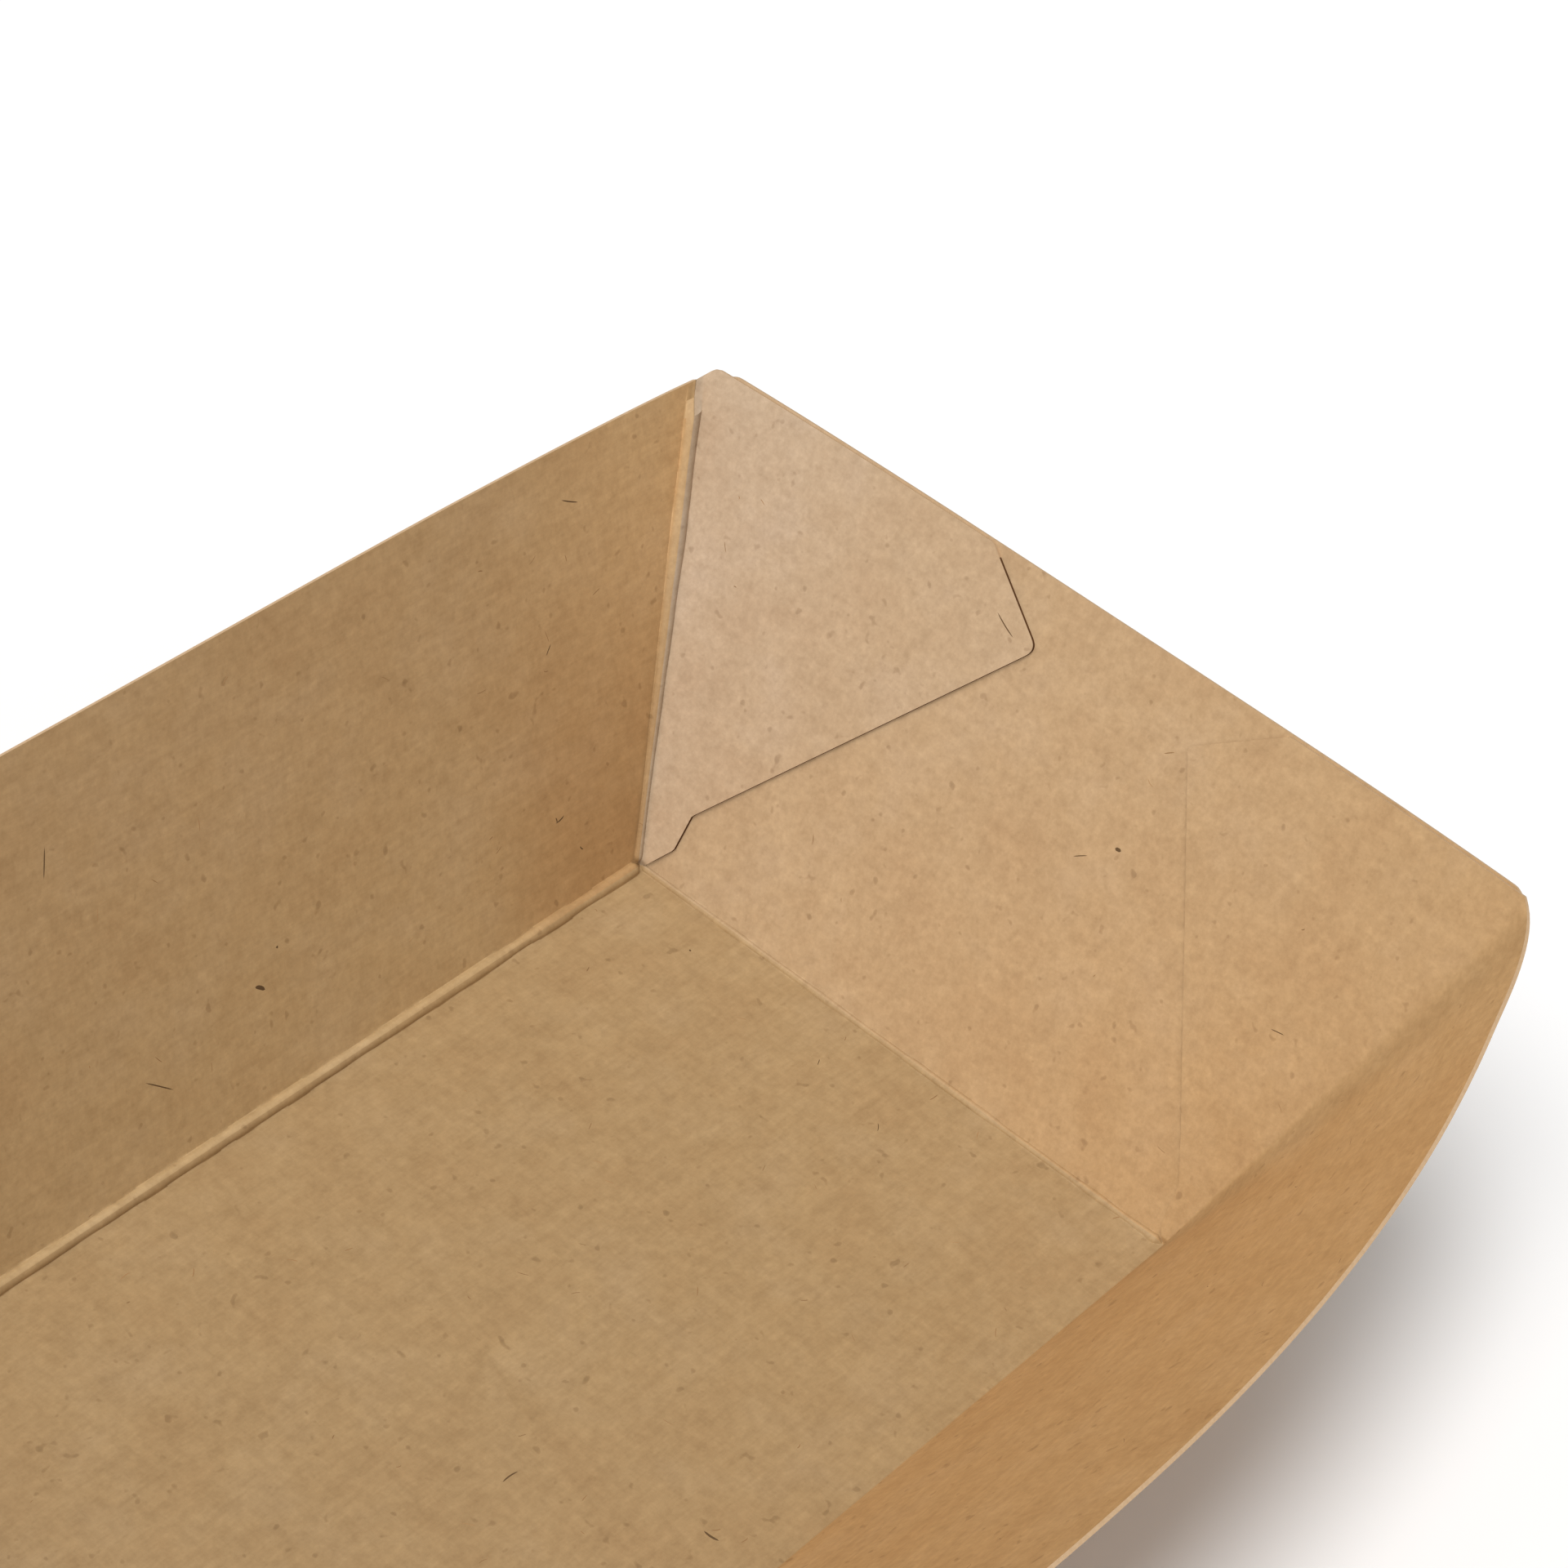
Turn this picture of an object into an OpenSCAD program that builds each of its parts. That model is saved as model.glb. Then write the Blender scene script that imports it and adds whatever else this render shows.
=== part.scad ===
// Folded kraft board snack tray
// The origin is the middle of the underside of the base.
// X runs along the tray, the far wall is at +Y, the near wall at -Y, and +Z is up.

/* [Base] */
// Length of the base between its end folds
base_length = 120; // [90:1:160]
// Width of the base between its side folds
base_width = 70; // [50:1:95]
// Thickness of the board
board = 0.4; // [0.3:0.05:0.6]

/* [Walls] */
// Height of the rim corners above the base
corner_height = 46.2; // [30:0.1:60]
// Outward reach of the long walls at the rim corners
side_flare = 15.9; // [8:0.1:24]
// Outward reach of the end walls at the rim corners
end_flare = 20.5; // [10:0.1:28]
// Distance of the far corner folds' upper ends beyond the rim corners
far_fold_reach = 1.7; // [0.2:0.1:3]
// Distance of the far corner folds' upper ends below the rim corners
far_fold_drop = 2.1; // [0.5:0.1:4]
// Extra lean of the far wall at its middle, in degrees
far_bow = 0.6; // [0:0.1:10]
// Extra slant height of the far wall at its middle
far_arch = 0.9; // [0:0.1:3]
// Extra lean of the near wall at its middle, in degrees
near_bow = 19.7; // [0:0.1:22]
// Extra lean of the end walls at their middle, in degrees
end_bow = 2.3; // [0:0.1:6]

/* [Near corners] */
// Rim length over which the near wall bends away from an end wall
bend_reach = 10; // [7:0.5:14]
// Pull of the bend towards the end wall, at the rim
bend_lead = 2.3; // [1:0.1:4]
// Pull of the bend towards the near wall, at the rim
bend_trail = 3.2; // [1:0.1:4]
// Downward turn of the rim where the bend starts, in degrees
tip_turn = 47; // [20:1:60]

/* [Glue flaps] */
// Rim length of the flaps that come from the far wall
far_flap = 35.6; // [25:0.5:40]
// Rim length of the flaps that come from the near wall
near_flap = 29.2; // [20:0.5:40]
// Distance that a flap's point reaches past its rim end
flap_point = 9.2; // [5:0.1:11]
// Height of a flap's point below the rim, along the wall
flap_shoulder = 6.8; // [4:0.1:10]
// Height above the end fold up to which a far flap is cut back beside its fold
far_notch = 8.2; // [5:0.1:12]
// Depth by which a far flap is cut back there
far_notch_depth = 3.2; // [1:0.1:5]
// Height above the end fold up to which a near flap is cut back beside its fold
near_notch = 6.6; // [5:0.1:12]
// Depth by which a near flap is cut back there
near_notch_depth = 1.4; // [1:0.1:5]
// Depth by which a flap is pressed into the end wall behind it
glue_lap = 0.15; // [0.12:0.01:0.2]

/* [Creases] */
// Radius of the raised bead along the far base fold
far_bead = 0.7; // [0.3:0.05:0.8]
// Radius of the raised beads along the end folds
end_bead = 0.4; // [0.3:0.05:0.5]
// Radius of the raised beads along the far corner folds, at their feet
corner_bead_foot = 0.45; // [0.3:0.05:0.7]
// Radius of the same beads at their heads
corner_bead_head = 0.95; // [0.4:0.05:1.1]
// Length by which the corner beads stop short of the rim
bead_end_gap = 2.6; // [1:0.1:8]

/* [Hidden] */

// How sharply the lean drops towards the corners: a higher power bows nearer to them
far_power = 4.1;
near_power = 2.4;
end_power = 3.2;

// Counts of strips over half a long wall, over half an end wall, over a bend and over a flap
wall_steps = 9;
end_steps = 14;
bend_steps = 5;
flap_steps = 6;

// The ring of inner folds lies on top of the base, at the height of the board
half_length = base_length / 2;
half_width = base_width / 2;
corner_x = half_length + end_flare;
corner_y = half_width + side_flare;

// Slant heights and leans of the near and end walls at the rim corners
near_slant = norm([side_flare, corner_height]);
end_slant = norm([end_flare, corner_height]);
near_lean = atan2(side_flare, corner_height);
end_lean = atan2(end_flare, corner_height);

// Upper end of the far corner folds, with the slant height and lean of the far wall there
far_flare = side_flare + far_fold_reach;
far_height = corner_height - far_fold_drop;
far_corner_x = half_length + end_flare * far_height / corner_height;
far_slant = norm([far_flare, far_height]);
far_lean = atan2(far_flare, far_height);

// The flap lies on the end wall, less the depth that the glue presses it in
flap_step = board - glue_lap;
// Wall sheets start this deep in the edge of the base
root = board / 4;
// Distance between the side edges of an end wall and the corner folds, at the base
end_edge_gap = board;
end_edge_share = 1 - end_edge_gap / half_width;
// Share of the corner bend that is left at its foot
bend_foot_share = 0.05;
// Share of the way from its rim end to its point at which a flap is cut blunt
flap_tip_share = 0.93;
// Ends of the fold beads reach this far into the walls beside them
bead_root = board * 3 / 4;
// Distance from a fold to the axis of its bead, as a share of the bead's radius
bead_lift_share = 0.5;

function blend(a, b, share) = a * (1 - share) + b * share;
function unit(v) = v / norm(v);
// The part of a direction that is square to a way, at length 1
function beside(v, way) = unit(v - (v * way) * way);

// Full at a wall's middle, share 0, and gone at its corners, shares 1 and -1
function fullness(share, power) = 1 - pow(min(abs(share), 1), power);

// Rim of the far wall
function far_rim(share) =
    let (
        full = fullness(share, far_power),
        angle = far_lean + far_bow * full,
        slant = far_slant + far_arch * full
    )
    [share * far_corner_x, half_width + slant * sin(angle), board + slant * cos(angle)];

// Rim of the near wall
function near_rim(share) =
    let (angle = near_lean + near_bow * fullness(share, near_power))
    [
        share * corner_x,
        -half_width - near_slant * sin(angle),
        board + near_slant * cos(angle)
    ];

// Rim of the end wall at +X
function end_rim(share) =
    let (angle = end_lean + end_bow * fullness(share, end_power))
    [
        half_length + end_slant * sin(angle),
        share * corner_y,
        board + end_slant * cos(angle)
    ];

// Inner face of the end wall: share runs across it and rise from its fold to its rim
function end_face(share, rise) =
    blend([half_length, share * half_width, board], end_rim(share), rise);

// Inner face of a flap, one step in from the end wall
end_inward = unit([-corner_height, 0, end_flare]);
function flap_face(share, rise) = end_face(share, rise) + flap_step * end_inward;

// Flap outlines are drawn flat, as [distance from the middle of the end wall, height up its slope].
// A share there is a strip of the end wall, whose width grows with the height.
function share_of(p) = p[0] / (half_width + side_flare * p[1] / end_slant);

// Rise at which the strip at a share crosses the straight edge between two outline points
function edge_rise(share, a, b) =
    let (run = (b[0] - a[0]) / (b[1] - a[1]))
    (a[0] - a[1] * run - share * half_width) / (share * side_flare - end_slant * run);

// Strips of a flap, from its rim corner to its point, each from the flap's foot to its head
function flap_columns(length, notch, depth, side) =
    let (
        fold_foot = [half_width, 0],
        notch_foot = [half_width - depth, notch / 2],
        notch_head = [half_width - depth, notch],
        point = [corner_y - length - flap_point, end_slant - flap_shoulder],
        rim_end = [corner_y - length, end_slant],
        tip_share = blend(share_of(rim_end), share_of(point), flap_tip_share),
        beside_notch = [
            for (part = side > 0 ? [1 / 4, 1 / 2, 1] : [1 / 2, 1])
                let (s = blend(1, share_of(notch_foot), part))
                [s, edge_rise(s, fold_foot, notch_foot), part < 1 / 2 ? 1 : s, 1]
        ],
        under_rim = [
            for (i = [0 : flap_steps])
                let (s = blend(share_of(notch_head), share_of(rim_end), i / flap_steps))
                [s, edge_rise(s, notch_head, point), s, 1]
        ],
        at_point = [
            for (s = [blend(share_of(rim_end), tip_share, 1 / 2), tip_share])
                [s, edge_rise(s, notch_head, point), s, edge_rise(s, rim_end, point)]
        ]
    )
    [
        for (c = concat(beside_notch, under_rim, at_point))
            [flap_face(side * c[0], c[1]), flap_face(side * c[2], c[3])]
    ];

// The far corner fold at +X, moved in with the flap that hangs on it
fold_shift = [-flap_step / cos(end_lean), 0, 0];
far_corner = [[half_length, half_width, board] + fold_shift, far_rim(1) + fold_shift];

// Strips of half the far wall, from its middle to its corner fold at +X
function far_columns() =
    [
        for (i = [0 : wall_steps])
            let (share = i / wall_steps)
            i == wall_steps ? far_corner : [[share * half_length, half_width, board], far_rim(share)]
    ];

// The bend at a near corner: its rim is one curve from the end wall to the near wall
bend_share = (corner_x - bend_reach) / corner_x;
short_of_share = 0.99;
bend_start = end_rim(-1) + flap_step * end_inward;
bend_lead_way = cos(tip_turn) * [0, -1, 0] - sin(tip_turn) * unit([end_flare, 0, corner_height]);
bend_stop = near_rim(bend_share);
bend_trail_way = unit(bend_stop - near_rim(bend_share * short_of_share));
function bend_rim(t) =
    bend_start * pow(1 - t, 3)
    + 3 * (bend_start + bend_lead * bend_lead_way) * t * pow(1 - t, 2)
    + 3 * (bend_stop + bend_trail * bend_trail_way) * t * t * (1 - t)
    + bend_stop * pow(t, 3);
function bend_columns() =
    [
        for (i = [bend_steps : -1 : 0])
            let (top = bend_rim(i / bend_steps))
            [
                [half_length - flap_step + bend_foot_share * (top[0] - bend_start[0]), -half_width, board],
                top
            ]
    ];

// Strips of half the near wall, from its middle to the start of its corner bend at +X
function near_columns() =
    let (foot_x = half_length - flap_step + bend_foot_share * (bend_stop[0] - bend_start[0]))
    [
        for (i = [0 : wall_steps - 1])
            let (share = i / wall_steps)
            [[share * foot_x, -half_width, board], near_rim(share * bend_share)]
    ];

// Mirrors a half list of strips about X and joins both halves, outermost strip first
function mirror_x(p) = [-p[0], p[1], p[2]];
function both_halves(half) =
    concat(
        [for (i = [len(half) - 1 : -1 : 1]) [for (p = half[i]) mirror_x(p)]],
        half
    );

// Face direction of the strip between two columns, and the outward step at a column
function strip_normal(a, b) = unit(cross(b[0] + b[1] - a[0] - a[1], a[1] + b[1] - a[0] - b[0]));
function outward(columns, i) =
    let (
        last = len(columns) - 1,
        before = strip_normal(columns[max(i - 1, 0)], columns[max(i, 1)]),
        after = strip_normal(columns[min(i, last - 1)], columns[min(i + 1, last)]),
        middle = unit(before + after)
    )
    middle / (middle * before);

// A folded sheet through a list of [foot, head] columns, with its thickness on the outer side
module sheet(columns, side, sink) {
    last = len(columns) - 1;
    steps = [for (i = [0 : last]) side * board * outward(columns, i)];
    feet = [for (c = columns) c[0] - sink * unit(c[1] - c[0])];
    heads = [for (c = columns) c[1]];
    points = concat(
        feet,
        heads,
        [for (i = [0 : last]) feet[i] + steps[i]],
        [for (i = [0 : last]) heads[i] + steps[i]]
    );
    n = last + 1;
    quads = concat(
        [for (i = [0 : last - 1]) [i, i + 1, n + i + 1, n + i]],
        [for (i = [0 : last - 1]) [2 * n + i + 1, 2 * n + i, 3 * n + i, 3 * n + i + 1]],
        [for (i = [0 : last - 1]) [n + i, n + i + 1, 3 * n + i + 1, 3 * n + i]],
        [for (i = [0 : last - 1]) [i + 1, i, 2 * n + i, 2 * n + i + 1]],
        [[0, n, 3 * n, 2 * n], [last + n, last, last + 2 * n, last + 3 * n]]
    );
    triangles = [
        for (q = quads)
            for (t = [[q[0], q[1], q[2]], [q[0], q[2], q[3]]])
                side > 0 ? t : [t[2], t[1], t[0]]
    ];
    polyhedron(points, triangles);
}

// The far wall with the flap at each of its ends
module far_sheet() {
    flap = flap_columns(far_flap, far_notch, far_notch_depth, 1);
    half = concat(far_columns(), flap);
    sheet(both_halves(half), 1, root);
}

// The near wall with its soft corner bends and the flap at each of its ends
module near_sheet() {
    flap = flap_columns(near_flap, near_notch, near_notch_depth, -1);
    half = concat(near_columns(), bend_columns(), flap);
    sheet(both_halves(half), -1, root);
}

// An end wall, which is the outer layer behind the two flaps
module end_sheet() {
    shares = [for (i = [-end_steps : end_steps]) end_edge_share * i / end_steps];
    columns = [for (s = shares) [end_face(s, 0), end_face(s, 1)]];
    sheet(columns, -1, root);
}

// The base, which reaches under the roots of all four walls
module base_sheet() {
    linear_extrude(board)
        square([base_length + 2 * board, base_width + 2 * board], center = true);
}

// A round bead with its axis from one point to another, and a radius at each
module bead(from, to, radius, end_radius) {
    way = to - from;
    translate(from)
        rotate([0, acos(way[2] / norm(way)), atan2(way[1], way[0])])
            cylinder(h = norm(way), r1 = radius, r2 = end_radius, $fn = 24);
}

// Bead along the far base fold
module far_fold_bead() {
    lift = bead_lift_share * far_bead;
    foot = [half_length + bead_root, half_width - lift / 2, board + lift];
    bead(mirror_x(foot), foot, far_bead, far_bead);
}

// Bead along the end fold at +X
module end_fold_bead() {
    lift = bead_lift_share * end_bead;
    x = half_length - lift / 2;
    bead([x, -half_width - bead_root, board + lift], [x, half_width, board + lift], end_bead, end_bead);
}

// Bead along the far corner fold at +X, which grows from its foot to its head
module corner_bead() {
    way = unit(far_corner[1] - far_corner[0]);
    inward = bead_lift_share * unit(beside([-1, 0, 0], way) + beside([0, -1, 0], way));
    foot = far_corner[0] + corner_bead_foot * (way + inward);
    head = far_corner[1] - bead_end_gap * way + corner_bead_head * inward;
    bead(foot, head, corner_bead_foot, corner_bead_head);
}

module tray() {
    color("tan")
        union() {
            base_sheet();
            far_sheet();
            near_sheet();
            far_fold_bead();
            for (turn = [0, 1])
                mirror([turn, 0, 0]) {
                    end_sheet();
                    end_fold_bead();
                    corner_bead();
                }
        }
}

tray();
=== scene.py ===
import math
import random

import bpy
import numpy as np
from mathutils import Matrix, Vector, noise
from mathutils.bvhtree import BVHTree


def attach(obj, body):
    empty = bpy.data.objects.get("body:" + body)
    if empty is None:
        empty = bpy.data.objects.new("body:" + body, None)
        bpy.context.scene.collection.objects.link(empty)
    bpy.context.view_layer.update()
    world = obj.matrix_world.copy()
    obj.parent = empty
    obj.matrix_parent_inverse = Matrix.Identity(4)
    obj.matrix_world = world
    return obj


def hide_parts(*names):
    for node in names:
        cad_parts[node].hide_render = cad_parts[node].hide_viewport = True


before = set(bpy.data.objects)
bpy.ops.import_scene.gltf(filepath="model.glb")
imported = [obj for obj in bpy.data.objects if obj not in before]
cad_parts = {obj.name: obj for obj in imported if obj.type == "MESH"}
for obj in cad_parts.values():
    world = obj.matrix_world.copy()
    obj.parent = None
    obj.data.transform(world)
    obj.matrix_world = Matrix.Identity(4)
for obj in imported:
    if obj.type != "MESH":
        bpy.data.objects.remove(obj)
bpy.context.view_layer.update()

# All sizes are in millimetres until a mesh is made
MM = 0.001

# The folded sheet, as in the part's source
HALF_LENGTH, HALF_WIDTH, BOARD = 60.0, 35.0, 0.4
CORNER_HEIGHT, SIDE_FLARE, END_FLARE = 46.2, 15.9, 20.5
FAR_FOLD_REACH, FAR_FOLD_DROP = 1.7, 2.1
FAR_BOW, FAR_ARCH, FAR_POWER = math.radians(0.6), 0.9, 4.1
NEAR_BOW, NEAR_POWER = math.radians(19.1), 2.4
END_BOW, END_POWER = math.radians(2.3), 3.2
CORNER_X, CORNER_Y = HALF_LENGTH + END_FLARE, HALF_WIDTH + SIDE_FLARE
NEAR_SLANT, NEAR_LEAN = math.hypot(SIDE_FLARE, CORNER_HEIGHT), math.atan2(SIDE_FLARE, CORNER_HEIGHT)
END_SLANT, END_LEAN = math.hypot(END_FLARE, CORNER_HEIGHT), math.atan2(END_FLARE, CORNER_HEIGHT)
FAR_FLARE, FAR_HEIGHT = SIDE_FLARE + FAR_FOLD_REACH, CORNER_HEIGHT - FAR_FOLD_DROP
FAR_SLANT, FAR_LEAN = math.hypot(FAR_FLARE, FAR_HEIGHT), math.atan2(FAR_FLARE, FAR_HEIGHT)
FAR_RISE = FAR_HEIGHT / CORNER_HEIGHT
FAR_X = HALF_LENGTH + END_FLARE * FAR_RISE

# The flaps lie this far inside the end walls, along X, once clear of the base
FLAP_SHIFT, SHIFT_HEIGHT = 0.46, 1.2

# Bend of the near wall into its flaps
BEND_REACH, BEND_LEAD, BEND_TRAIL, TIP_TURN = 15.0, 4.0, 4.0, math.radians(44)
BEND_START_SHARE = 0.981

# The end wall's rim stays this share lower at its two corners
TIP_DROP, TIP_START = 0.02, 0.95


def unit(v):
    v = np.asarray(v, float)
    return v / np.linalg.norm(v, axis=-1, keepdims=True)


def stack(*parts):
    return np.stack(np.broadcast_arrays(*[np.asarray(p, float) for p in parts]), -1)


def smooth(low, high, value):
    t = np.clip((np.asarray(value, float) - low) / (high - low), 0, 1)
    return t * t * (3 - 2 * t)


def fullness(share, power):
    return 1 - np.minimum(np.abs(share), 1) ** power


def far_rim(share):
    full = fullness(share, FAR_POWER)
    lean, slant = FAR_LEAN + FAR_BOW * full, FAR_SLANT + FAR_ARCH * full
    return stack(share * FAR_X, HALF_WIDTH + slant * np.sin(lean), BOARD + slant * np.cos(lean))


def near_rim(share):
    lean = NEAR_LEAN + NEAR_BOW * fullness(share, NEAR_POWER)
    out, up = NEAR_SLANT * np.sin(lean), NEAR_SLANT * np.cos(lean)
    return stack(share * CORNER_X, -HALF_WIDTH - out, BOARD + up)


def end_point(across, up):
    """A point on the inner face of the end wall at +X, by its flat place there."""
    rise = np.asarray(up, float) / END_SLANT
    share = across / (HALF_WIDTH + SIDE_FLARE * rise)
    lean = END_LEAN + END_BOW * fullness(share, END_POWER)
    slant = rise * END_SLANT
    return stack(HALF_LENGTH + slant * np.sin(lean), across, BOARD + slant * np.cos(lean))


def flap_point(across, up):
    """The same on the inner face of a flap."""
    return end_point(across, up) - stack(FLAP_SHIFT * smooth(0, SHIFT_HEIGHT, up), 0, 0)


# Rows up the walls, closer together near the folds
FINE_ROWS = [0, 0.06, 0.12, 0.2, 0.3, 0.4, 0.5, 0.6, 0.7, 0.8, 0.95, 1.15, 1.4, 1.8, 2.4, 3.2, 4.2]
RISES = np.array(FINE_ROWS + list(np.linspace(5.6, 48.9, 26))) / 48.9

# Columns next to the end folds, as distances from them on the base
FINE_COLUMNS = np.array([0, 0.06, 0.12, 0.2, 0.3, 0.4, 0.5, 0.6, 0.7, 0.8, 0.9, 1, 1.15, 1.35, 1.6, 1.9, 2.3])
# The same next to the corner folds, in widths of the bead there
ON_BEAD = [0, 0.08, 0.17, 0.27, 0.38, 0.5, 0.62, 0.74, 0.86, 0.97]
BEAD_COLUMNS = np.array(ON_BEAD + [1.03, 1.12, 1.25, 1.45, 1.8, 2.3, 3.0])
BEAD_FOOT, BEAD_HEAD = 0.6, 1.25
PLAIN_COLUMNS = 58

# Rows across the base
EDGE_ROWS = np.array([0, 0.06, 0.12, 0.2, 0.3, 0.4, 0.5, 0.6, 0.7, 0.8, 0.95, 1.15, 1.4, 1.8, 2.4])
HALF_ROWS = list(HALF_WIDTH - EDGE_ROWS) + list(np.linspace(HALF_WIDTH - EDGE_ROWS[-1], 0, 27)[1:])
BASE_ROWS = np.array(HALF_ROWS + [-y for y in HALF_ROWS[-2::-1]])

far_head = (HALF_WIDTH + FAR_FLARE, END_SLANT * FAR_RISE)
far_fold = flap_point(HALF_WIDTH + FAR_FLARE * RISES, far_head[1] * RISES)
near_fold_share = 1 + (BEND_START_SHARE - 1) * RISES
near_fold = flap_point(-near_fold_share * (HALF_WIDTH + SIDE_FLARE * RISES), END_SLANT * RISES)


def columns(edge, offsets):
    """X of the columns of a row that ends at edge, from the tray's middle outwards."""
    plain = np.linspace(0, edge - offsets[-1], PLAIN_COLUMNS + 1)
    return np.concatenate([plain, edge - offsets[-2::-1]])


def far_wall():
    rows = []
    for j, rise in enumerate(RISES):
        aligned = BEAD_COLUMNS * (BEAD_FOOT + (BEAD_HEAD - BEAD_FOOT) * rise)
        offsets = FINE_COLUMNS + (aligned - FINE_COLUMNS) * smooth(0, 0.06, rise)
        x = columns(far_fold[j][0], offsets)
        share = x / (HALF_LENGTH + (FAR_X - HALF_LENGTH) * rise)
        foot = stack(share * HALF_LENGTH, HALF_WIDTH, BOARD)
        row = foot + (far_rim(share) - foot) * rise
        near_edge = np.clip(1 - (x[-1] - x) / offsets[-1], 0, 1)[:, None]
        row += near_edge * (far_fold[j] - row[-1])
        rows.append(row)
    return np.array(rows)


def base():
    x = columns(HALF_LENGTH, FINE_COLUMNS)
    return stack(x[None, :], BASE_ROWS[:, None], BOARD)


def bend_rim(t):
    """Rim of the bend: 0 at the end wall, 1 on the near wall."""
    start = near_fold[-1]
    stop = near_rim(1 - BEND_REACH / CORNER_X)
    trail = unit(stop - near_rim(0.99 - BEND_REACH / CORNER_X))
    down = unit([END_FLARE, 0, CORNER_HEIGHT])
    lead = math.cos(TIP_TURN) * np.array([0, -1, 0]) - math.sin(TIP_TURN) * down
    t = np.asarray(t, float)[..., None]
    first, last = start + BEND_LEAD * lead, stop + BEND_TRAIL * trail
    return start * (1 - t) ** 3 + 3 * first * t * (1 - t) ** 2 + 3 * last * t * t * (1 - t) + stop * t ** 3


def near_wall():
    x = columns(HALF_LENGTH, FINE_COLUMNS)
    count = len(FINE_COLUMNS)
    rim_share = x[: PLAIN_COLUMNS + 1] / x[PLAIN_COLUMNS] * (1 - BEND_REACH / CORNER_X)
    turn = np.arange(count - 2, -1, -1) / (count - 1)
    rim = np.concatenate([near_rim(rim_share), bend_rim(turn)])
    foot = stack(x, -HALF_WIDTH, BOARD)
    bent = np.concatenate([np.zeros(PLAIN_COLUMNS + 1), 1 - turn])[:, None]
    rows = []
    for j, rise in enumerate(RISES):
        straight = foot + (rim - foot) * rise
        rows.append(straight + bent * (near_fold[j] - straight[-1]))
    return np.array(rows)


def rounded(corners, radii, steps=8):
    """A polyline through corners, each rounded by its radius, with points close together."""
    corners = [np.array(c, float) for c in corners]
    line = [corners[0]]
    for before, corner, after, radius in zip(corners, corners[1:], corners[2:], radii):
        a, b = unit(before - corner), unit(after - corner)
        half = math.acos(float(np.clip(a @ b, -1, 1))) / 2
        cut = radius / math.tan(half)
        start, stop = corner + a * cut, corner + b * cut
        t = np.linspace(0, 1, steps + 1)[:, None]
        line += list(start * (1 - t) ** 2 + 2 * corner * t * (1 - t) + stop * t * t)
    line.append(corners[-1])
    dense = [line[0]]
    for a, b in zip(line, line[1:]):
        count = max(1, int(np.linalg.norm(b - a) / 0.25))
        dense += [a + (b - a) * i / count for i in range(1, count + 1)]
    return np.array(dense)


def flap(side, fold, fold_head, outline, radii, foot_bead, head_bead):
    """Grid of a flap: its first column is its fold, and its rulings lean towards the flap's point."""
    line = rounded([fold_head] + outline + [(HALF_WIDTH, 0)], radii)
    foot = np.array([HALF_WIDTH, 0.0])
    way = unit(np.array(fold_head) - foot)
    off = (foot[0] - line[:, 0]) * way[1] + line[:, 1] * way[0]
    tip = int(np.argmax(off))
    upper, lower = line[: tip + 1], line[tip:][::-1]
    upper_off, lower_off = off[: tip + 1], off[tip:][::-1]
    most = off[tip]

    def spread(bead):
        start = bead * BEAD_COLUMNS[-1]
        near_foot = np.linspace(start, start + 5, 17)[1:]
        middle = np.linspace(start + 5, most - 9, 16)[1:]
        near_rim_end = np.linspace(most - 9, most - 4, 14)[1:]
        t = np.linspace(0, 1, 12)[1:]
        point = most - 4 + 4 * (1 - (1 - t) ** 2) * 0.9995
        return np.concatenate([bead * BEAD_COLUMNS, near_foot, middle, near_rim_end, point])

    feet, heads = spread(foot_bead), spread(head_bead)
    lows = np.stack([np.interp(feet, lower_off, lower[:, k]) for k in (0, 1)], -1)
    tops = np.stack([np.interp(heads, upper_off, upper[:, k]) for k in (0, 1)], -1)
    flat = lows[None] + (tops - lows)[None] * RISES[:, None, None]
    grid = flap_point(side * flat[..., 0], flat[..., 1])
    grid[:, 0] = fold
    return grid


def far_flap():
    outline = [(50.9, END_SLANT), (15.3, END_SLANT), (5.9, 43.7), (31.75, 8.3), (31.95, 4.0), (34.2, 0.7)]
    return flap(1, far_fold, far_head, outline, [1.2, 0.25, 1.3, 0.3, 0.15, 0.1], BEAD_FOOT, BEAD_HEAD)


def near_flap():
    head = (BEND_START_SHARE * CORNER_Y, END_SLANT)
    outline = [(21.7, END_SLANT), (12.9, 44.1), (31.1, 11.5), (33.6, 6.6), (33.9, 2.2)]
    return flap(-1, near_fold, head, outline, [0.25, 0.8, 0.5, 0.5, 0.3], 0.8, 0.8)


def end_wall():
    up = END_SLANT * RISES[:, None]
    share = BASE_ROWS[None, :] / HALF_WIDTH * (1 - 0.012 * smooth(0, 2, up))
    across = share * (HALF_WIDTH + SIDE_FLARE * RISES[:, None])
    drop = TIP_DROP * smooth(TIP_START, 1, np.abs(share)) * RISES[:, None] ** 2
    return end_point(across, up * (1 - drop))


def wander(position, seed, wavelength):
    """A smooth random value from about -1 to 1."""
    places = [Vector((p / wavelength, seed * 7.31, seed * 3.17)) for p in position.ravel()]
    return np.array([noise.noise(place) * 1.6 for place in places]).reshape(position.shape)


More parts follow.
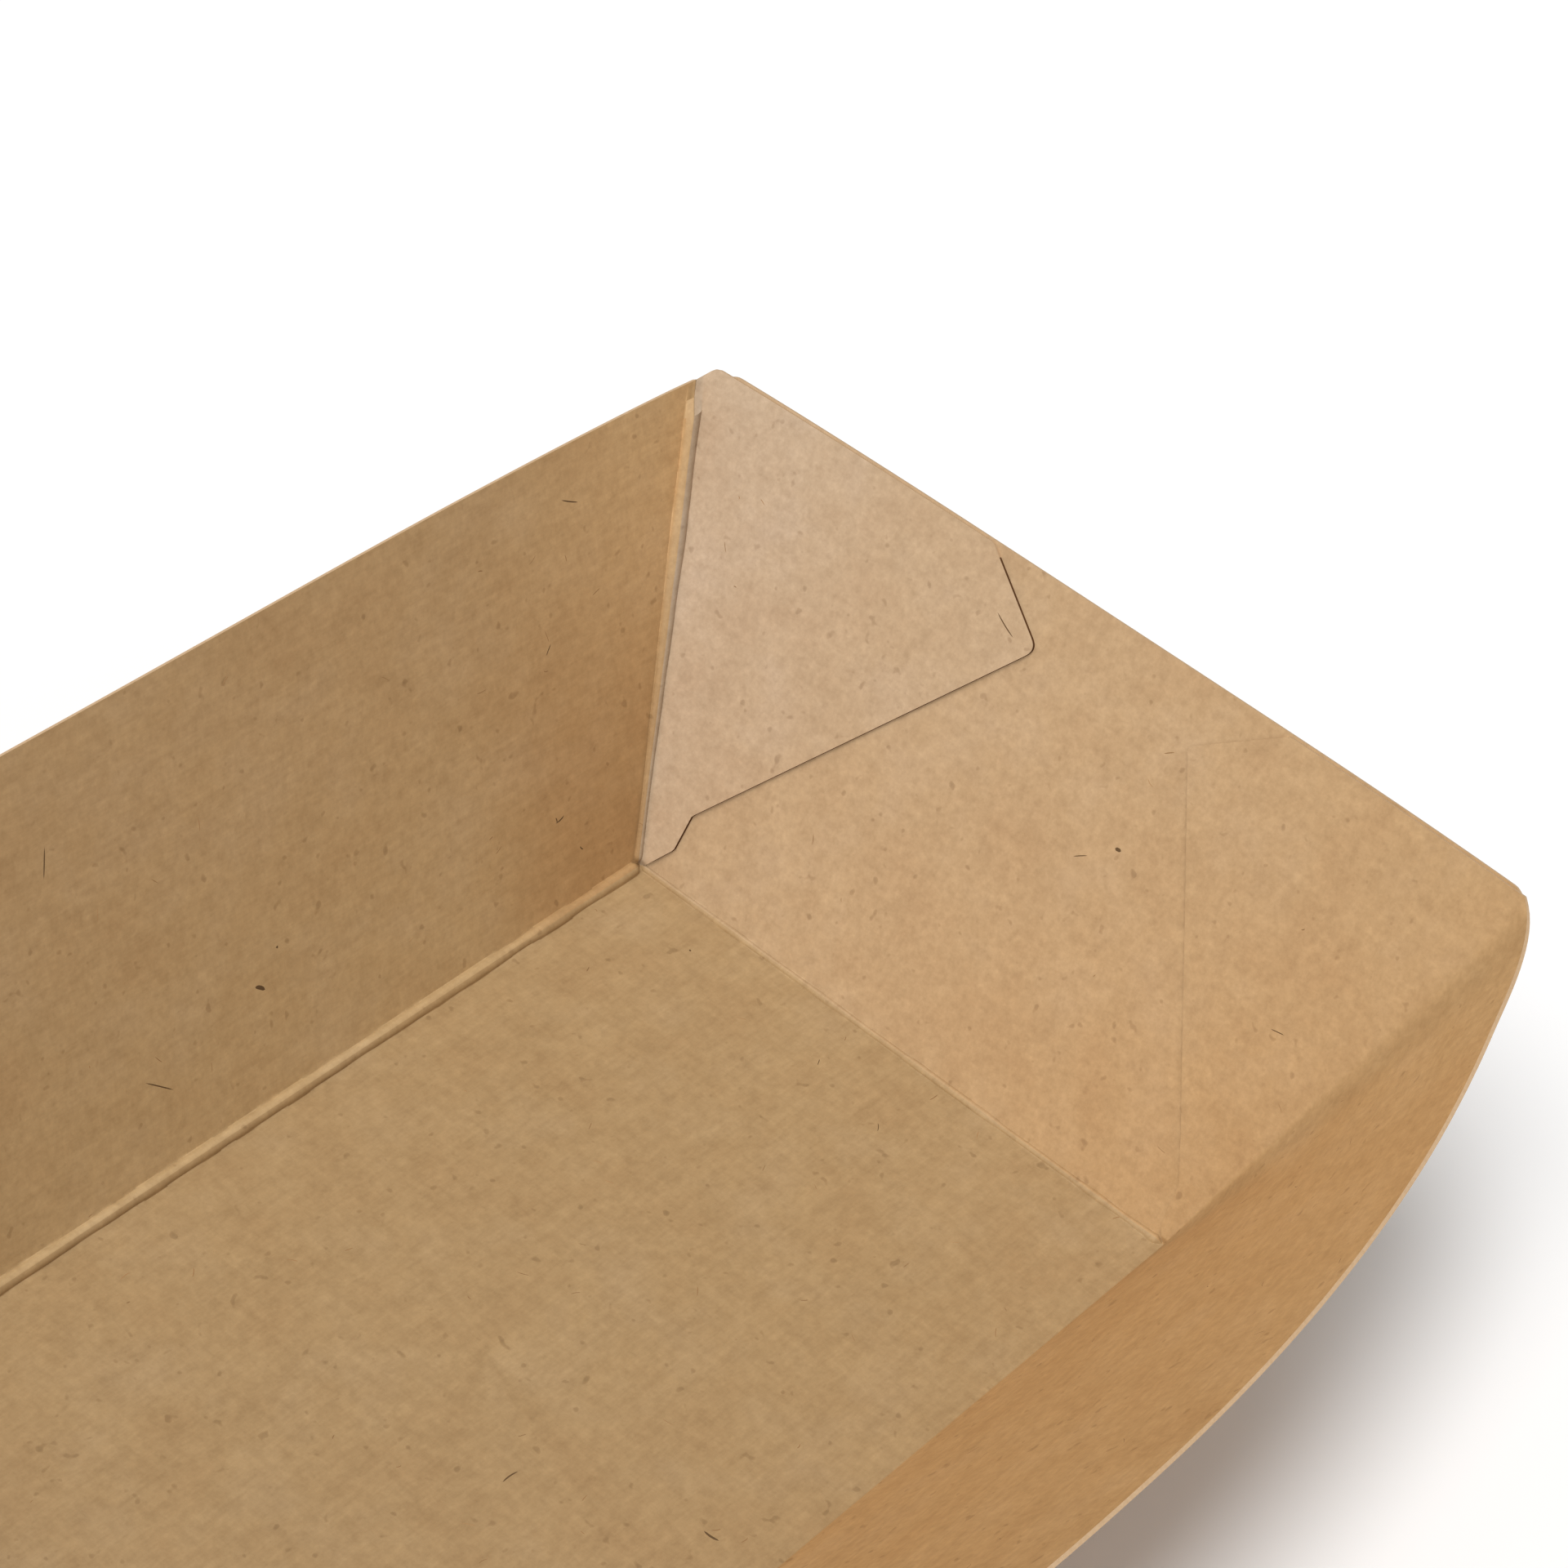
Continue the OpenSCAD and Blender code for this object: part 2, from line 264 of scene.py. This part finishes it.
def bead(points, origin, way, own, other, radius, lift, outer):
    """Moves one face's nodes in a fold onto a round bead, and rounds the outside of the fold."""
    rel = points - origin
    along = rel @ way
    centre = origin + along[..., None] * way
    distance = (points - centre) @ own
    middle = unit(own + other)
    cos_half = float(middle @ own)
    sin_half = math.sqrt(1 - cos_half ** 2)
    radius, lift = radius(along), lift(along)
    reach = lift * cos_half + np.sqrt(np.maximum(radius ** 2 - (lift * sin_half) ** 2, 0))
    widest = np.arctan2(reach * sin_half, reach * cos_half - lift)
    aside = unit(own - middle * cos_half)
    turn = widest * np.clip(distance / np.maximum(reach, 1e-6), 0, 1)
    up, out = (lift + radius * np.cos(turn))[..., None], (radius * np.sin(turn))[..., None]
    round_one = centre + middle * up + aside * out
    inside = (distance < reach) & (reach > 0.02)
    moved = np.where(inside[..., None], round_one, points)
    at_fold = np.abs(distance) < 0.1
    across = unit(np.cross(way, own))
    across = across if across @ middle < 0 else -across
    beyond = unit(np.cross(way, other))
    beyond = beyond if beyond @ middle < 0 else -beyond
    weight = np.where(distance > 0.03, 0.75, 0.5)[..., None]
    arc = centre + BOARD * unit(across * weight + beyond * (1 - weight))
    outer = np.where(at_fold[..., None], arc, outer)
    return moved, outer


X_AXIS, Y_AXIS = np.array([1.0, 0, 0]), np.array([0, 1.0, 0])
far_up = np.array([0, math.sin(FAR_LEAN + FAR_BOW), math.cos(FAR_LEAN + FAR_BOW)])
near_up = np.array([0, -math.sin(NEAR_LEAN + NEAR_BOW), math.cos(NEAR_LEAN + NEAR_BOW)])
end_up = np.array([math.sin(END_LEAN + END_BOW), 0, math.cos(END_LEAN + END_BOW)])
fold_way = unit(far_fold[-1] - far_fold[20])
fold_origin = far_fold[20] - fold_way * np.linalg.norm(far_fold[20] - far_fold[0])
far_normal = unit(np.cross(X_AXIS, fold_way))
far_side = unit(np.cross(far_normal, fold_way))
far_side = far_side if far_side[0] < 0 else -far_side
flap_normal = unit(np.cross(flap_point(40, 30) - flap_point(45, 30), fold_way))
flap_side = unit(np.cross(flap_normal, fold_way))
flap_side = flap_side if flap_side[1] < 0 else -flap_side
fold_length = float(np.linalg.norm(far_fold[-1] - far_fold[0]))


def ends(along, low, high, fade):
    return smooth(low, low + fade, along) * smooth(high, high - fade, along)


def far_base_bead(grid, own, other, outer):
    def radius(x):
        wave = 1 + 0.16 * wander(x, 1, 5.5) + 0.07 * wander(x, 2, 1.7)
        return 0.72 * wave * smooth(HALF_LENGTH + 0.2, HALF_LENGTH - 1.2, np.abs(x))

    origin = np.array([0, HALF_WIDTH, BOARD])
    return bead(grid, origin, X_AXIS, own, other, radius, lambda x: 0.3 * radius(x), outer)


def corner_bead(grid, own, other, outer):
    def radius(along):
        grown = 0.42 + 0.5 * smooth(0, fold_length, along)
        wave = 1 + 0.08 * wander(along, 3, 6)
        return grown * wave * ends(along, 0.1, fold_length - 1.6, 0.9)

    return bead(grid, fold_origin, fold_way, own, other, radius, lambda a: 0.5 * radius(a), outer)


def end_base_bead(grid, own, other, outer):
    def radius(y):
        wave = 1 + 0.15 * wander(y, 4, 4.5) + 0.1 * wander(y, 5, 1.6)
        return 0.42 * wave * smooth(HALF_WIDTH + 0.1, HALF_WIDTH - 1.0, np.abs(y))

    origin = np.array([HALF_LENGTH, 0, BOARD])
    return bead(grid, origin, Y_AXIS, own, other, radius, lambda y: 0.25 * radius(y), outer)


def no_bead(grid, own, other, outer):
    zero = lambda x: np.zeros_like(x)
    return bead(grid, np.array([0, -HALF_WIDTH, BOARD]), X_AXIS, own, other, zero, zero, outer)


class Sheet:
    """Collects grids into one surface, whose nodes have an inner and, where given, an outer place."""

    def __init__(self):
        self.seen, self.nominal, self.inner, self.outer, self.quads = {}, [], [], [], []
        self.painted_light_factors = []

    def add(self, nominal, inner, outer, mirrored, tint):
        # Painted light and shade of these nodes, as factors on the board's colour
        shades = tint(nominal)
        if mirrored:
            flip = np.array([-1.0, 1, 1])
            nominal, inner, outer = nominal * flip, inner * flip, outer * flip
        rows, cols = nominal.shape[:2]
        ids = np.zeros((rows, cols), int)
        for j in range(rows):
            for i in range(cols):
                key = tuple(np.round(nominal[j, i] + 0.00031, 3))
                if key not in self.seen:
                    self.seen[key] = len(self.nominal)
                    self.nominal.append(nominal[j, i])
                    self.inner.append(inner[j, i])
                    self.outer.append(outer[j, i])
                    self.painted_light_factors.append(shades[j, i])
                k = ids[j, i] = self.seen[key]
                if not np.isnan(outer[j, i, 0]) and np.isnan(self.outer[k][0]):
                    self.outer[k] = outer[j, i]
        a, b, c, d = ids[:-1, :-1], ids[:-1, 1:], ids[1:, 1:], ids[1:, :-1]
        quads = np.stack([a, b, c, d], -1).reshape(-1, 4)
        p = np.array(self.nominal)
        face = np.cross(p[quads[:, 2]] - p[quads[:, 0]], p[quads[:, 3]] - p[quads[:, 1]])
        middle = p[quads].mean(1) - np.array([0, 0, 25.0])
        if (face * middle).sum() < 0:
            quads = quads[:, ::-1]
        self.quads += [tuple(q) for q in quads]


def fade(start, stop, share):
    """From one tint to another by a share."""
    share = np.clip(share, 0, 1)[..., None]
    return np.array(start) * (1 - share) + np.array(stop) * share


def bead_painted_shade(p):
    """Painted shade along the far corner's bead: the board is made a little darker in the crease."""
    rel = p - fold_origin
    along = rel @ fold_way
    distance = np.linalg.norm(rel - along[..., None] * fold_way, axis=-1)
    return fade((0.84, 0.86, 0.88), (1, 1, 1), smooth(0.5, 1.2, distance))


# Painted light and shade, as factors on the board's colour: each face is made lighter or darker as light
# falls on it, with a painted whitish sheen on the far flap and the far side of the end wall
# Far wall: painted shade low in its end corners, and painted light high up towards its ends
def far_wall_painted_light(p):
    low = fade((1.0, 1.09, 1.11), (0.88, 0.85, 0.76), smooth(34, 54, np.abs(p[..., 0])))
    high = fade((1.01, 1.06, 1.07), (1.2, 1.25, 1.25), smooth(40, 78, np.abs(p[..., 0])))
    return (low + (high - low) * smooth(2, 42, p[..., 2])[..., None]) * bead_painted_shade(p)


# Near wall: painted light, lighter and less orange towards its ends, and painted to match the lit end wall in
# its bend
def near_wall_painted_light(p):
    share = np.abs(p[..., 0]) / (HALF_LENGTH + END_FLARE * p[..., 2] / CORNER_HEIGHT)
    bent = smooth(0.9, 0.985, share)[..., None]
    plain = fade((1.09, 1.01, 0.86), (1.13, 1.12, 1.05), smooth(50, 74, np.abs(p[..., 0])))
    return plain + (end_wall_painted_light(p) - plain) * bent


# Base: painted shade over the whole base, a little less dark towards the end walls
def base_painted_shade(p):
    return fade((0.79, 0.83, 0.8), (0.82, 0.875, 0.875), smooth(30, 60, np.abs(p[..., 0])))


# End wall: painted whitish sheen on its far side, strongest high up, and painted shade towards its near side
def end_wall_painted_light(p):
    low = fade((0.95, 1.06, 1.26), (0.94, 0.93, 0.86), (35 - p[..., 1]) / 70)
    high = fade((0.98, 1.11, 1.38), (0.9, 0.91, 0.87), (50 - p[..., 1]) / 100)
    return low + (high - low) * smooth(2, 42, p[..., 2])[..., None]


# Near flap: the end wall's painted light and shade
def near_flap_painted_light(p):
    return end_wall_painted_light(p)


# Far flap: painted whitish sheen, strongest towards the far wall, with the bead's painted shade
def far_flap_painted_light(p):
    return fade((0.99, 1.17, 1.62), (0.96, 1.08, 1.34), smooth(48, 18, p[..., 1])) * bead_painted_shade(p)


def blank(grid):
    return np.full(grid.shape, np.nan)


def build_sheet():
    sheet = Sheet()
    far, floor, near, end = far_wall(), base(), near_wall(), end_wall()
    far_tab, near_tab = far_flap(), near_flap()
    down_x, down_y = -X_AXIS, -Y_AXIS
    for mirrored in (False, True):
        inner, outer = far_base_bead(far, far_up, down_y, blank(far))
        fold_inner, _ = corner_bead(inner, far_side, flap_side, blank(far))
        sheet.add(far, fold_inner, outer, mirrored, far_wall_painted_light)
        fold_inner, _ = corner_bead(far_tab, flap_side, far_side, blank(far_tab))
        sheet.add(far_tab, fold_inner, blank(far_tab), mirrored, far_flap_painted_light)
        inner, outer = far_base_bead(floor, down_y, far_up, blank(floor))
        inner, outer = end_base_bead(inner, down_x, end_up, outer)
        _, outer = no_bead(floor, Y_AXIS, near_up, outer)
        sheet.add(floor, inner, outer, mirrored, base_painted_shade)
        inner, outer = no_bead(near, near_up, Y_AXIS, blank(near))
        sheet.add(near, inner, outer, mirrored, near_wall_painted_light)
        sheet.add(near_tab, near_tab, blank(near_tab), mirrored, near_flap_painted_light)
        inner, outer = end_base_bead(end, end_up, down_x, blank(end))
        sheet.add(end, inner, outer, mirrored, end_wall_painted_light)
    return sheet


def vertex_normals(points, quads):
    """Normals weighted by the angles at each vertex, and the least cosine with a face beside it."""
    total = np.zeros_like(points)
    q = points[quads]
    face = np.cross(q[:, 2] - q[:, 0], q[:, 3] - q[:, 1])
    size = np.linalg.norm(face, axis=1, keepdims=True)
    face = np.where(size > 1e-9, face / np.maximum(size, 1e-12), 0)
    for k in range(4):
        a = q[:, (k + 1) % 4] - q[:, k]
        b = q[:, (k - 1) % 4] - q[:, k]
        lengths = np.linalg.norm(a, axis=1) * np.linalg.norm(b, axis=1)
        angle = np.arccos(np.clip((a * b).sum(1) / np.maximum(lengths, 1e-12), -1, 1))
        angle = np.where(lengths > 1e-9, angle, 0)
        np.add.at(total, quads[:, k], face * angle[:, None])
    normals = unit(total)
    least = np.ones(len(points))
    for k in range(4):
        cosine = (normals[quads[:, k]] * face).sum(1)
        cosine = np.where(size[:, 0] > 1e-9, cosine, 1)
        np.minimum.at(least, quads[:, k], cosine)
    return normals, np.clip(least, 0.75, 1)


# Fibres that stand out in the board: middle, way from end to end, and width
FIBRES = [
    ((59.1, 48.8, 40.4), (2.2, -0.3, -1.1), 0.14),
    ((52.8, 44.2, 27.4), (-0.9, -0.3, -0.9), 0.12),
    ((50.2, 38.4, 10.2), (-1.2, -0.1, -0.3), 0.16),
    ((49.6, 38.4, 10.3), (0, -0.2, -0.7), 0.14),
    ((52.4, 36.9, 6.0), (0.4, -0.2, -0.5), 0.14),
    ((8.4, 39.1, 12.2), (1.1, -0.3, -0.8), 0.42),
    ((11.4, 40.0, 15.0), (0.2, 0, -0.2), 0.24),
    ((-12.2, 46.9, 35.1), (-0.9, -0.9, -2.8), 0.13),
    ((-5.6, 38.0, 9.1), (3.0, -0.8, -2.3), 0.13),
    ((77.8, 10.1, 40.6), (-0.6, -2.8, -1.2), 0.13),
    ((72.6, -11.4, 28.8), (0, -0.7, 0.1), 0.38),
    ((70.2, -35.0, 23.5), (0, -1.5, 0.3), 0.1),
    ((71.5, -8.2, 26.3), (0.4, -1.3, 0.8), 0.1),
    ((-0.2, -28.6, 0.4), (0.2, -1.7, 0), 0.24),
    ((-8.9, -11.8, 0.4), (2.0, -0.1, 0), 0.15),
    ((54.6, 23.0, 0.4), (0.2, -0.1, 0), 0.26),
    ((52.7, 3.8, 0.4), (0.8, 0.4, 0), 0.08),
    ((50.4, -6.0, 0.4), (-0.9, -0.7, 0), 0.08),
]
FIBRE_HEIGHT, FIBRE_RINGS = 0.025, 6
FIBRE_DARK, FIBRE_COUNT = 0.3, 340


def add_fibre(tree, middle, way, width, curl, shade, points, faces, shades):
    """A thin closed stroke that lies on the sheet, pointed at both ends."""
    middle, way = Vector(middle), Vector(way)
    first = len(points)
    for k in range(FIBRE_RINGS + 2):
        t = k / (FIBRE_RINGS + 1) * 2 - 1
        place, normal, _, _ = tree.find_nearest(middle + way * t / 2)
        side = normal.cross(way).normalized()
        place = place + side * curl * (1 - t * t)
        shades.append((*shade, 1))
        if abs(t) == 1:
            points.append(tuple(place))
            continue
        half = width / 2 * (1 - t ** 4)
        out, up = side * half, normal * FIBRE_HEIGHT
        points += [tuple(place + v) for v in (out, up, -out, -up)]
        shades += [(*shade, 1)] * 3
    rings = [first + 1 + 4 * k for k in range(FIBRE_RINGS)]
    last = len(points) - 1
    for i in range(4):
        j = (i + 1) % 4
        faces.append([first, rings[0] + j, rings[0] + i])
        faces += [[a + i, a + j, b + j, b + i] for a, b in zip(rings, rings[1:])]
        faces.append([last, rings[-1] + i, rings[-1] + j])


def add_fibres(points, faces, shades):
    """The fibres that stand out, and faint ones all over both faces of the sheet."""
    draw = random.Random(11)
    tree = BVHTree.FromPolygons([tuple(p) for p in points], faces)
    corners = np.array(points)[np.array([f[:3] for f in faces])]
    sizes = np.linalg.norm(np.cross(corners[:, 1] - corners[:, 0], corners[:, 2] - corners[:, 0]), axis=1)
    clear = (corners[:, :, 2].min(1) > 0.3) & (corners[:, :, 2].max(1) < 44)
    board = draw.choices(range(len(faces)), weights=list(sizes * clear), k=FIBRE_COUNT)
    for middle, way, width in FIBRES:
        curl = draw.uniform(-0.12, 0.12)
        add_fibre(tree, middle, way, width, curl, [FIBRE_DARK] * 3, points, faces, shades)
    for f in board:
        along = Vector(corners[f][1] - corners[f][0]).normalized()
        across = Vector(corners[f][2] - corners[f][0])
        across = (across - along * across.dot(along)).normalized()
        turn, length = draw.uniform(0, math.pi), draw.uniform(0.3, 1.5)
        way = (along * math.cos(turn) + across * math.sin(turn)) * length
        shade = [draw.uniform(0.6, 1.0)] * 3
        width, curl = draw.uniform(0.05, 0.11), draw.uniform(-0.1, 0.1)
        add_fibre(tree, corners[f].mean(0), way, width, curl, shade, points, faces, shades)


RIM_SLOT, FAR_FLAP_SLOT, NEAR_FLAP_SLOT, FIBRE_SLOT = 1, 2, 3, 4


# Length and size of the walls' waves, and how far the walls stay inside the true surface
WAVES, WAVE_SINK = ((34, 0.12), (13, 0.03)), 0.06


def edge_slot(a, b):
    """Which material an edge of the board has: the rim, or the edge of a flap inside the tray."""
    on_end = abs(a[0]) > HALF_LENGTH - 1 and max(a[2], b[2]) < 45.2
    if not on_end or max(abs(a[1]), abs(b[1])) > HALF_WIDTH + 12:
        return RIM_SLOT
    return FAR_FLAP_SLOT if a[1] > 0 else NEAR_FLAP_SLOT


def make_tray():
    sheet = build_sheet()
    nominal, inner = np.array(sheet.nominal), np.array(sheet.inner)
    outer, quads = np.array(sheet.outer), np.array(sheet.quads)
    normals, cosine = vertex_normals(nominal, quads)
    plain = nominal + normals * (BOARD / cosine)[:, None]
    outer = np.where(np.isnan(outer), plain, outer)

    # Slight waves of the walls, the same on both faces
    height = smooth(2, 12, nominal[:, 2])
    wave = sum(size * np.array([noise.noise(Vector(p / length)) for p in nominal]) for length, size in WAVES)
    shift = normals * (wave * height - WAVE_SINK)[:, None] * height[:, None]
    inner, outer = inner + shift, outer + shift

    n = len(nominal)
    used = {}
    for quad in quads:
        for a, b in zip(quad, np.roll(quad, -1)):
            used[(a, b)] = used.get((a, b), 0) + 1
    rim = [(a, b) for (a, b) in used if (b, a) not in used and a != b]
    faces, kinds = [], []

    def put(ids, kind):
        ids = [int(i) for k, i in enumerate(ids) if i != ids[k - 1]]
        if len(set(ids)) > 2:
            faces.append(ids)
            kinds.append(kind)

    for quad in quads:
        put([q + n for q in quad], 0)
        put(quad[::-1], 0)
    for a, b in rim:
        put([a + n, b + n, b, a], edge_slot(nominal[a], nominal[b]))
    points = list(np.concatenate([inner, outer]))
    # Painted light and shade of each node, on both faces of the board; the fibres add their own darkness
    shades = [(*tint, 1) for tint in sheet.painted_light_factors] * 2
    add_fibres(points, faces, shades)
    kinds += [FIBRE_SLOT] * (len(faces) - len(kinds))
    mesh = bpy.data.meshes.new("tray_sheet")
    mesh.from_pydata([tuple(np.array(p) * MM) for p in points], [], faces)
    mesh.polygons.foreach_set("material_index", kinds)
    mesh.polygons.foreach_set("use_smooth", [True] * len(faces))
    mesh.validate()
    mesh.update()
    tray = bpy.data.objects.new("tray_sheet", mesh)
    bpy.context.scene.collection.objects.link(tray)
    # The tint attribute holds the sheet's painted light and shade, and the fibres' own darkness
    tint = mesh.color_attributes.new("tint", "FLOAT_COLOR", "POINT")
    tint.data.foreach_set("color", np.array(shades, float).ravel())
    mesh.set_sharp_from_angle(angle=math.radians(38))
    return tray


def principled(name):
    material = bpy.data.materials.new(name)
    material.use_nodes = True
    return material, material.node_tree.nodes, material.node_tree.links


def srgb(r, g, b):
    return tuple(((c / 255 + 0.055) / 1.055) ** 2.4 for c in (r, g, b)) + (1.0,)


def kraft_material():
    material, nodes, links = principled("kraft_board")
    shader = nodes["Principled BSDF"]
    shader.inputs["Roughness"].default_value = 0.62
    shader.inputs["Specular IOR Level"].default_value = 0.35
    coords = nodes.new("ShaderNodeTexCoord")

    def noise_at(scale, detail, roughness, stretch=(1, 1, 1)):
        mapping = nodes.new("ShaderNodeMapping")
        mapping.inputs["Scale"].default_value = stretch
        links.new(coords.outputs["Object"], mapping.inputs["Vector"])
        tex = nodes.new("ShaderNodeTexNoise")
        tex.inputs["Scale"].default_value = scale
        tex.inputs["Detail"].default_value = detail
        tex.inputs["Roughness"].default_value = roughness
        links.new(mapping.outputs["Vector"], tex.inputs["Vector"])
        return tex.outputs["Fac"]

    def ramp(value, stops):
        node = nodes.new("ShaderNodeValToRGB")
        links.new(value, node.inputs["Fac"])
        elements = node.color_ramp.elements
        elements[0].position, elements[0].color = stops[0]
        elements[1].position, elements[1].color = stops[-1]
        for position, color in stops[1:-1]:
            elements.new(position).color = color
        return node.outputs["Color"]

    def mix(kind, factor, a, b):
        node = nodes.new("ShaderNodeMix")
        node.data_type, node.blend_type = "RGBA", kind
        node.inputs["Factor"].default_value = factor
        links.new(a, node.inputs[6])
        links.new(b, node.inputs[7])
        return node.outputs[2]

    def layer(color, factor, value, places, shades):
        stops = [(place, srgb(*shade)) for place, shade in zip(places, shades)]
        return mix("OVERLAY", factor, color, ramp(value, stops))

    board = [(0.3, srgb(158, 126, 89)), (0.5, srgb(161, 130, 93)), (0.72, srgb(163, 133, 98))]
    color = ramp(noise_at(90, 3, 0.6), board)
    patches, mottle, grain = noise_at(260, 4, 0.65), noise_at(900, 2, 0.6), noise_at(2600, 3, 0.7)
    lengthwise, crosswise = noise_at(1500, 3, 0.7, (0.16, 1, 1)), noise_at(1300, 3, 0.7, (1, 0.2, 0.5))
    flecks, even = noise_at(720, 1, 0.5), (198, 197, 195)
    color = layer(color, 0.2, patches, (0.32, 0.5, 0.7), ((180, 172, 160), (200, 198, 194), (214, 214, 214)))
    color = layer(color, 0.22, mottle, (0.3, 0.52, 0.74), ((168, 162, 152), even, (220, 220, 220)))
    color = layer(color, 0.2, lengthwise, (0.32, 0.54, 0.72), ((170, 163, 152), even, (216, 217, 218)))
    color = layer(color, 0.16, crosswise, (0.32, 0.54, 0.72), ((174, 168, 158), even, (214, 214, 214)))
    color = layer(color, 0.2, grain, (0.3, 0.55, 0.75), ((176, 172, 166), even, (214, 213, 212)))
    color = layer(color, 0.3, flecks, (0.7, 0.75, 0.8), ((205, 205, 205), (150, 138, 120), (120, 104, 84)))
    # The sheet's painted light and shade, from the tint attribute, multiplies the board's colour
    tint = nodes.new("ShaderNodeVertexColor")
    tint.layer_name = "tint"
    color = mix("MULTIPLY", 1.0, color, tint.outputs["Color"])
    links.new(color, shader.inputs["Base Color"])

    bump = nodes.new("ShaderNodeBump")
    bump.inputs["Strength"].default_value = 0.25
    bump.inputs["Distance"].default_value = 0.00006
    links.new(noise_at(1900, 4, 0.7), bump.inputs["Height"])
    links.new(bump.outputs["Normal"], shader.inputs["Normal"])
    return material


def cut_material(name, dark, light):
    material, nodes, links = principled(name)
    shader = nodes["Principled BSDF"]
    shader.inputs["Roughness"].default_value = 0.85
    shader.inputs["Specular IOR Level"].default_value = 0.2
    tex = nodes.new("ShaderNodeTexNoise")
    tex.inputs["Scale"].default_value = 3000
    coords = nodes.new("ShaderNodeTexCoord")
    links.new(coords.outputs["Object"], tex.inputs["Vector"])
    ramp = nodes.new("ShaderNodeValToRGB")
    ramp.color_ramp.elements[0].color = dark
    ramp.color_ramp.elements[1].color = light
    links.new(tex.outputs["Fac"], ramp.inputs["Fac"])
    links.new(ramp.outputs["Color"], shader.inputs["Base Color"])
    return material


def fibre_material():
    material, nodes, links = principled("kraft_fibre")
    shader = nodes["Principled BSDF"]
    shader.inputs["Roughness"].default_value = 0.8
    shader.inputs["Specular IOR Level"].default_value = 0.2
    tint = nodes.new("ShaderNodeVertexColor")
    tint.layer_name = "tint"
    color = nodes.new("ShaderNodeMix")
    color.data_type, color.blend_type = "RGBA", "MULTIPLY"
    color.inputs["Factor"].default_value = 1.0
    color.inputs[6].default_value = srgb(158, 122, 82)
    links.new(tint.outputs["Color"], color.inputs[7])
    links.new(color.outputs[2], shader.inputs["Base Color"])
    return material


tray = make_tray()
tray.data.materials.append(kraft_material())
tray.data.materials.append(cut_material("kraft_cut_edge", srgb(176, 145, 110), srgb(196, 166, 132)))
# The flaps' cut edges are painted shade, darker than the rim's cut edge: a deep painted shadow line along the
# far flap's edge, and a lighter painted shade along the near flap's edge
tray.data.materials.append(cut_material("kraft_far_flap_edge_painted_shadow", srgb(72, 46, 22), srgb(96, 64, 34)))
tray.data.materials.append(cut_material("kraft_near_flap_edge_painted_shade", srgb(120, 90, 56), srgb(150, 116, 78)))
tray.data.materials.append(fibre_material())
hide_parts("tray")
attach(tray, "root")


def make_floor():
    size = 3.0
    mesh = bpy.data.meshes.new("floor")
    corners = [(x * size, y * size, 0) for x, y in ((-1, -1), (1, -1), (1, 1), (-1, 1))]
    mesh.from_pydata(corners, [], [(0, 1, 2, 3)])
    floor = bpy.data.objects.new("floor", mesh)
    floor.location.z = -0.0002
    bpy.context.scene.collection.objects.link(floor)
    material, nodes, _ = principled("floor_white")
    shader = nodes["Principled BSDF"]
    shader.inputs["Base Color"].default_value = (0.93, 0.93, 0.93, 1)
    shader.inputs["Roughness"].default_value = 0.9
    shader.inputs["Specular IOR Level"].default_value = 0.0
    mesh.materials.append(material)


WORLD_LEVEL = 0.42


def make_world():
    world = bpy.data.worlds.new("studio")
    bpy.context.scene.world = world
    world.use_nodes = True
    nodes, links = world.node_tree.nodes, world.node_tree.links
    background = nodes["Background"]
    background.inputs["Color"].default_value = (1, 1, 1, 1)
    path = nodes.new("ShaderNodeLightPath")
    plain = nodes.new("ShaderNodeMix")
    plain.data_type = "FLOAT"
    plain.inputs[2].default_value = WORLD_LEVEL
    plain.inputs[3].default_value = 1.0
    links.new(path.outputs["Is Camera Ray"], plain.inputs[0])
    links.new(plain.outputs[0], background.inputs["Strength"])


def make_sun(name, toward, strength, angle):
    data = bpy.data.lights.new(name, "SUN")
    data.energy, data.angle = strength, math.radians(angle)
    lamp = bpy.data.objects.new(name, data)
    lamp.rotation_mode = "QUATERNION"
    lamp.rotation_quaternion = Vector(toward).to_track_quat("Z", "Y")
    bpy.context.scene.collection.objects.link(lamp)
    return lamp


def spare_floor(lamp):
    """Lets a fill lamp light the tray only, and without a shadow."""
    lamp.data.use_shadow = False
    only_tray = bpy.data.collections.new(lamp.name + "_lit")
    only_tray.objects.link(tray)
    lamp.light_linking.receiver_collection = only_tray


def make_camera():
    azimuth, elevation, roll = (math.radians(v) for v in (-57.105, 41.189, 12.0))
    level = math.cos(elevation)
    back = Vector((math.sin(azimuth) * level, -math.cos(azimuth) * level, math.sin(elevation)))
    right = Vector((math.cos(azimuth), math.sin(azimuth), 0))
    up = back.cross(right)
    across = right * math.cos(roll) + up * math.sin(roll)
    upward = up * math.cos(roll) - right * math.sin(roll)
    target = Vector((81.668, 33.506, BOARD)) * MM
    data = bpy.data.cameras.new("camera")
    data.sensor_width, data.sensor_fit, data.lens = 36, "AUTO", 100.19
    data.clip_start, data.clip_end = 0.01, 20
    camera = bpy.data.objects.new("camera", data)
    turn = Matrix((across, upward, back)).transposed().to_4x4()
    camera.matrix_world = Matrix.Translation(target + back * 469.52 * MM) @ turn
    bpy.context.scene.collection.objects.link(camera)
    bpy.context.scene.camera = camera


make_floor()
make_world()
make_sun("key", (-0.15, 0, 1), 1.25, 26)
make_sun("left", (-0.5, 0, 0.85), 1.1, 24)
spare_floor(make_sun("side", (-0.9, 0.35, 0.25), 0.8, 40))
spare_floor(make_sun("low", (-0.9, -0.2, 0.3), 0.55, 40))
spare_floor(make_sun("front", (-0.5, -0.6, 0.6), 0.42, 40))
make_camera()

bpy.context.scene.view_settings.view_transform = "Standard"
